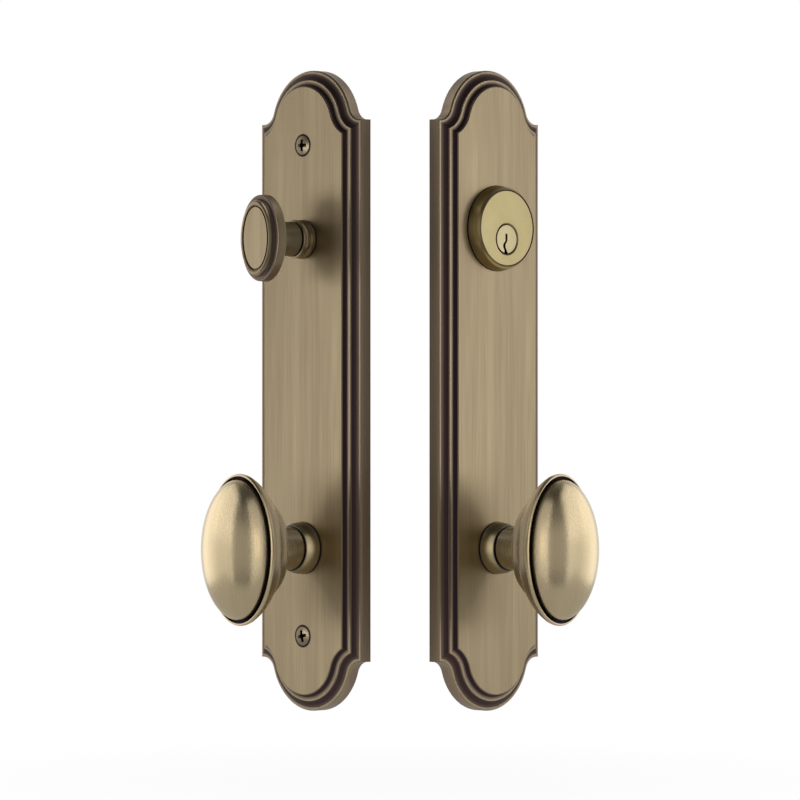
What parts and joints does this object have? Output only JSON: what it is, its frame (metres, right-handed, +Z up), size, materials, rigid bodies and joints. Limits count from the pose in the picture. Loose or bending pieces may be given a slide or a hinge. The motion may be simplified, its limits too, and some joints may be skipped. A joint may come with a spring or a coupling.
{
  "type": "entry door knob and deadbolt trim set",
  "caption": "Arched brass door plates that stand apart: one with an oval thumbturn and egg knob, one with a key cylinder and egg knob, for both sides of an entry door.",
  "frame": {"origin": "middle of the box of the whole set, on the mirror line between the two halves", "axes": "+Z up along the plates, +Y from the front of the set towards its back, +X to the right, with the interior half on the -X side and the exterior half on the +X side"},
  "size_m": [0.1784, 0.076, 0.2904],
  "materials": {
    "plate_brass": "vintage brass, brushed lengthways",
    "knob_brass": "vintage brass, satin",
    "turn_brass": "vintage brass, satin, dark in the grooves",
    "collar_brass": "vintage brass, turned",
    "cylinder_brass": "satin brass",
    "pin_brass": "turned brass",
    "screw_brass": "antique brass plated",
    "bushing_bronze": "sintered bronze",
    "spring_steel": "spring steel",
    "plated_steel": "zinc plated steel"
  },
  "bodies": {
    "plates": {"cylinder_clamp_ring": "plated_steel", "cylinder_clamp_screws": "plated_steel", "cylinder_collar": "collar_brass", "cylinder_housing": "cylinder_brass", "driver_pins": "pin_brass", "exterior_cover_screws": "plated_steel", "exterior_knob_bushing": "bushing_bronze", "exterior_knob_collar": "collar_brass", "exterior_plate": "plate_brass", "exterior_return_spring": "spring_steel", "exterior_spring_cover": "plated_steel", "exterior_spring_housing": "plated_steel", "interior_cover_screws": "plated_steel", "interior_knob_bushing": "bushing_bronze", "interior_knob_collar": "collar_brass", "interior_plate": "plate_brass", "interior_return_spring": "spring_steel", "interior_spring_cover": "plated_steel", "interior_spring_housing": "plated_steel", "thumbturn_collar": "collar_brass", "tie_posts": "plated_steel", "tie_screws": "screw_brass"},
    "interior_knob": {"interior_knob": "knob_brass", "interior_knob_set_screw": "plated_steel", "interior_spindle": "plated_steel", "interior_drive_cam": "plated_steel", "interior_knob_snap_ring": "spring_steel"},
    "exterior_knob": {"exterior_knob": "knob_brass", "exterior_knob_set_screw": "plated_steel", "exterior_spindle": "plated_steel", "exterior_drive_cam": "plated_steel", "exterior_knob_snap_ring": "spring_steel"},
    "thumbturn": {"thumbturn": "turn_brass", "thumbturn_pin": "plated_steel", "thumbturn_tailpiece": "plated_steel", "thumbturn_snap_ring": "spring_steel", "thumbturn_washer": "spring_steel"},
    "key_plug": {"cylinder_plug": "cylinder_brass", "plug_cap": "pin_brass", "cylinder_tailpiece": "plated_steel", "key_pins": "pin_brass"}
  },
  "joints": [
    {"name": "interior_knob_turn", "type": "hinge", "parent": "plates", "child": "interior_knob", "pos_m": [-0.04404, 0.00718, -0.0712], "axis": [-0.7071, -0.7071, 0], "range_deg": [-60, 60], "stiffness_Nm_per_rad": 0.35, "deforming": ["interior_return_spring"]},
    {"name": "thumbturn_turn", "type": "hinge", "parent": "plates", "child": "thumbturn", "pos_m": [-0.04404, 0.00718, 0.0685], "axis": [-0.7071, -0.7071, 0], "range_deg": [0, 90]},
    {"name": "exterior_knob_turn", "type": "hinge", "parent": "plates", "child": "exterior_knob", "pos_m": [0.04404, 0.00718, -0.0712], "axis": [0.7071, -0.7071, 0], "range_deg": [-60, 60], "stiffness_Nm_per_rad": 0.35, "deforming": ["exterior_return_spring"]},
    {"name": "key_turn", "type": "hinge", "parent": "plates", "child": "key_plug", "pos_m": [0.04404, 0.00718, 0.0685], "axis": [0.7071, -0.7071, 0], "range_deg": [-90, 90]}
  ]
}
